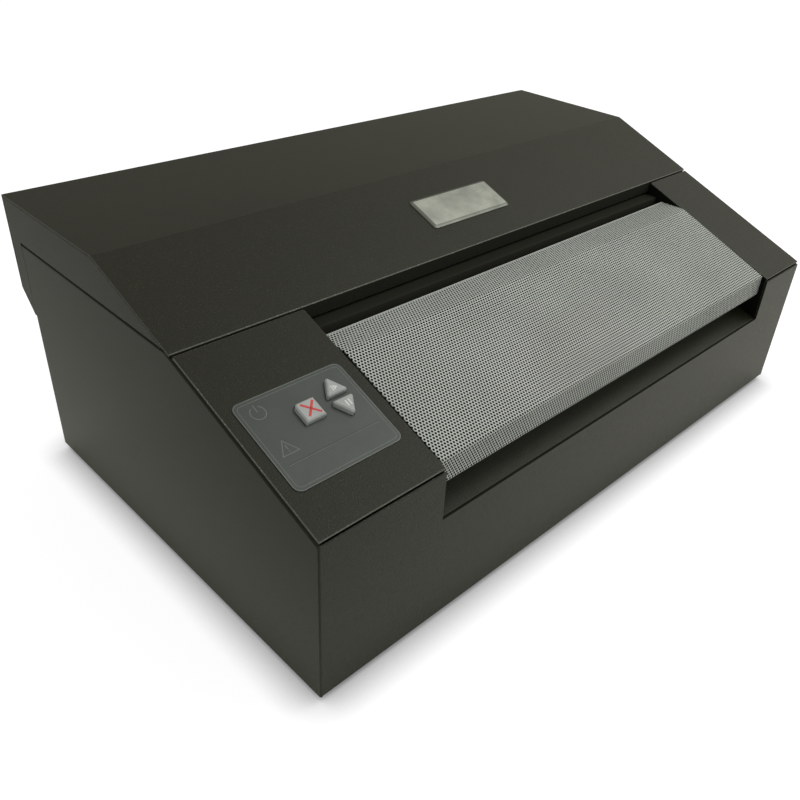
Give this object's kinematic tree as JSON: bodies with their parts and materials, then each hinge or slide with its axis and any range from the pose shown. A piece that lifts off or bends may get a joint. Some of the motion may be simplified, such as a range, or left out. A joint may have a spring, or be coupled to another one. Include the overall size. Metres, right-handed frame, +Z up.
{
  "type": "braille embosser",
  "caption": "Desktop embosser in a sheet metal case: sloping hinged lid, perforated paper grille, key panel, and a tractor feed with a travelling embossing head inside.",
  "frame": {"origin": "middle of the footprint, on the surface that the feet stand on", "axes": "+X to the right as seen from the front, +Y towards the rear, +Z up; the front faces -Y"},
  "size_m": [0.56, 0.343, 0.2073],
  "materials": {
    "case_paint": "fine sand-textured powder coat, dark olive grey",
    "recess_paint": "black powder coat",
    "grille_paint": "light grey-green powder coat",
    "badge_metal": "satin, raised rim",
    "overlay_film": "satin film",
    "key_plastic": "satin",
    "foot_rubber": "matte",
    "belt_rubber": "toothed",
    "zinc_steel": "zinc plated",
    "ground_steel": "ground and polished",
    "guide_steel": "brushed",
    "cast_aluminium": "machined",
    "bush_bronze": "sintered bronze",
    "coil_case": "black",
    "motor_case": "black with bare end bells",
    "gear_plastic": "acetal",
    "pinion_metal": "machined",
    "tractor_plastic": "glass filled",
    "lever_plastic": "satin",
    "board": "solder mask",
    "port_metal": "tinned",
    "fan_plastic": "moulded",
    "inlet_plastic": "moulded"
  },
  "bodies": {
    "base": {"base_pan": "case_paint", "side_panel_left": "case_paint", "side_panel_right": "case_paint", "deck_left": "case_paint", "deck_right": "case_paint", "recess_tray": "recess_paint", "control_overlay": "overlay_film", "feet": "foot_rubber", "carriage_belt": "belt_rubber", "case_screws": "zinc_steel", "hinge_leaf_base": "zinc_steel", "frame_left": "zinc_steel", "frame_right": "zinc_steel", "front_beam": "zinc_steel", "platen_beam": "zinc_steel", "idler_bracket": "zinc_steel", "power_supply": "zinc_steel", "hinge_pins": "ground_steel", "grille_pivots": "ground_steel", "guide_rods": "ground_steel", "support_rod": "ground_steel", "paper_guide": "guide_steel", "die_bar": "cast_aluminium", "shaft_bushes": "bush_bronze", "carriage_motor": "motor_case", "feed_motor": "motor_case", "key_board": "board", "main_board": "board", "data_ports": "port_metal", "fan_frame": "fan_plastic", "power_inlet": "inlet_plastic"},
    "lid": {"lid_shell": "case_paint", "badge_plate": "badge_metal", "hinge_leaf_lid": "zinc_steel"},
    "grille": {"grille": "grille_paint"},
    "key_cancel": {"key_cancel": "key_plastic"},
    "key_feed": {"key_feed": "key_plastic"},
    "key_pause": {"key_pause": "key_plastic"},
    "carriage": {"carriage": "cast_aluminium", "carriage_bushes": "bush_bronze", "solenoids": "coil_case"},
    "punch_1": {"punch_1": "ground_steel"},
    "punch_2": {"punch_2": "ground_steel"},
    "punch_3": {"punch_3": "ground_steel"},
    "motor_pulley": {"motor_pulley": "cast_aluminium"},
    "idler_pulley": {"idler_pulley": "cast_aluminium"},
    "feed_shaft": {"feed_shaft": "ground_steel", "feed_gear": "gear_plastic"},
    "feed_pinion": {"feed_pinion": "pinion_metal"},
    "fan_rotor": {"fan_rotor": "fan_plastic"},
    "power_rocker": {"power_rocker": "inlet_plastic"},
    "tractor_left": {"tractor_body_left": "cast_aluminium"},
    "pin_wheel_left": {"pin_wheel_left": "tractor_plastic"},
    "gate_left": {"tractor_gate_left": "tractor_plastic"},
    "lever_left": {"lock_lever_left": "lever_plastic"},
    "tractor_right": {"tractor_body_right": "cast_aluminium"},
    "pin_wheel_right": {"pin_wheel_right": "tractor_plastic"},
    "gate_right": {"tractor_gate_right": "tractor_plastic"},
    "lever_right": {"lock_lever_right": "lever_plastic"}
  },
  "joints": [
    {"name": "lid_hinge", "type": "hinge", "parent": "base", "child": "lid", "pos_m": [0, 0.1573, 0.1165], "axis": [-1, 0, 0], "range_deg": [0, 100]},
    {"name": "grille_hinge", "type": "hinge", "parent": "base", "child": "grille", "pos_m": [0.0159, -0.0615, 0.15506], "axis": [-1, 0, 0], "range_deg": [0, 70]},
    {"name": "cancel_press", "type": "slide", "parent": "base", "child": "key_cancel", "axis": [0, 0.3535, -0.9354], "range_m": [0, 0.001], "stiffness_N_per_m": 400, "springref_m": -0.001},
    {"name": "feed_press", "type": "slide", "parent": "base", "child": "key_feed", "axis": [0, 0.3535, -0.9354], "range_m": [0, 0.001], "stiffness_N_per_m": 400, "springref_m": -0.001},
    {"name": "pause_press", "type": "slide", "parent": "base", "child": "key_pause", "axis": [0, 0.3535, -0.9354], "range_m": [0, 0.001], "stiffness_N_per_m": 400, "springref_m": -0.001},
    {"name": "carriage_slide", "type": "slide", "parent": "base", "child": "carriage", "axis": [1, 0, 0], "range_m": [-0.192, 0.215]},
    {"name": "motor_pulley_turn", "type": "hinge", "parent": "base", "child": "motor_pulley", "pos_m": [-0.209, 0.1305, 0.16975], "axis": [0, 0, 1], "range_deg": [-1378, 1542]},
    {"name": "idler_pulley_turn", "type": "hinge", "parent": "base", "child": "idler_pulley", "pos_m": [0.232, 0.1305, 0.16975], "axis": [0, 0, 1], "range_deg": [-1378, 1542]},
    {"name": "punch_1_stroke", "type": "slide", "parent": "carriage", "child": "punch_1", "axis": [0, 0, -1], "range_m": [0, 0.0016], "stiffness_N_per_m": 300, "springref_m": -0.001},
    {"name": "punch_2_stroke", "type": "slide", "parent": "carriage", "child": "punch_2", "axis": [0, 0, -1], "range_m": [0, 0.0016], "stiffness_N_per_m": 300, "springref_m": -0.001},
    {"name": "punch_3_stroke", "type": "slide", "parent": "carriage", "child": "punch_3", "axis": [0, 0, -1], "range_m": [0, 0.0016], "stiffness_N_per_m": 300, "springref_m": -0.001},
    {"name": "feed_turn", "type": "hinge", "parent": "base", "child": "feed_shaft", "pos_m": [0.0159, 0.0045, 0.14696], "axis": [1, 0, 0], "continuous": true},
    {"name": "pinion_turn", "type": "hinge", "parent": "base", "child": "feed_pinion", "pos_m": [-0.249, 0.02325, 0.11449], "axis": [1, 0, 0], "continuous": true},
    {"name": "tractor_left_slide", "type": "slide", "parent": "base", "child": "tractor_left", "axis": [1, 0, 0], "range_m": [0, 0.06]},
    {"name": "wheel_left_turn", "type": "hinge", "parent": "tractor_left", "child": "pin_wheel_left", "pos_m": [-0.174, 0.0045, 0.14696], "axis": [1, 0, 0], "continuous": true},
    {"name": "gate_left_hinge", "type": "hinge", "parent": "tractor_left", "child": "gate_left", "pos_m": [-0.1874, 0.0045, 0.16215], "axis": [0, -1, 0], "range_deg": [0, 150]},
    {"name": "lever_left_turn", "type": "hinge", "parent": "tractor_left", "child": "lever_left", "pos_m": [-0.185, -0.0175, 0.12316], "axis": [1, 0, 0], "range_deg": [0, 50]},
    {"name": "tractor_right_slide", "type": "slide", "parent": "base", "child": "tractor_right", "axis": [1, 0, 0], "range_m": [-0.2, 0]},
    {"name": "wheel_right_turn", "type": "hinge", "parent": "tractor_right", "child": "pin_wheel_right", "pos_m": [0.2058, 0.0045, 0.14696], "axis": [1, 0, 0], "continuous": true},
    {"name": "gate_right_hinge", "type": "hinge", "parent": "tractor_right", "child": "gate_right", "pos_m": [0.2192, 0.0045, 0.16215], "axis": [0, 1, 0], "range_deg": [0, 150]},
    {"name": "lever_right_turn", "type": "hinge", "parent": "tractor_right", "child": "lever_right", "pos_m": [0.2168, -0.0175, 0.12316], "axis": [1, 0, 0], "range_deg": [0, 50]},
    {"name": "fan_turn", "type": "hinge", "parent": "base", "child": "fan_rotor", "pos_m": [-0.004, 0.1332, 0.047], "axis": [0, 1, 0], "continuous": true},
    {"name": "rocker_tilt", "type": "hinge", "parent": "base", "child": "power_rocker", "pos_m": [0.186, 0.1547, 0.0605], "axis": [1, 0, 0], "range_deg": [0, 18]}
  ],
  "couplings": [
    {"joint": "motor_pulley_turn", "follows": "carriage_slide", "rad_per_m": 125},
    {"joint": "idler_pulley_turn", "follows": "carriage_slide", "rad_per_m": 125},
    {"joint": "pinion_turn", "follows": "feed_turn", "ratio": -4},
    {"joint": "wheel_left_turn", "follows": "feed_turn", "ratio": 1},
    {"joint": "wheel_right_turn", "follows": "feed_turn", "ratio": 1}
  ]
}
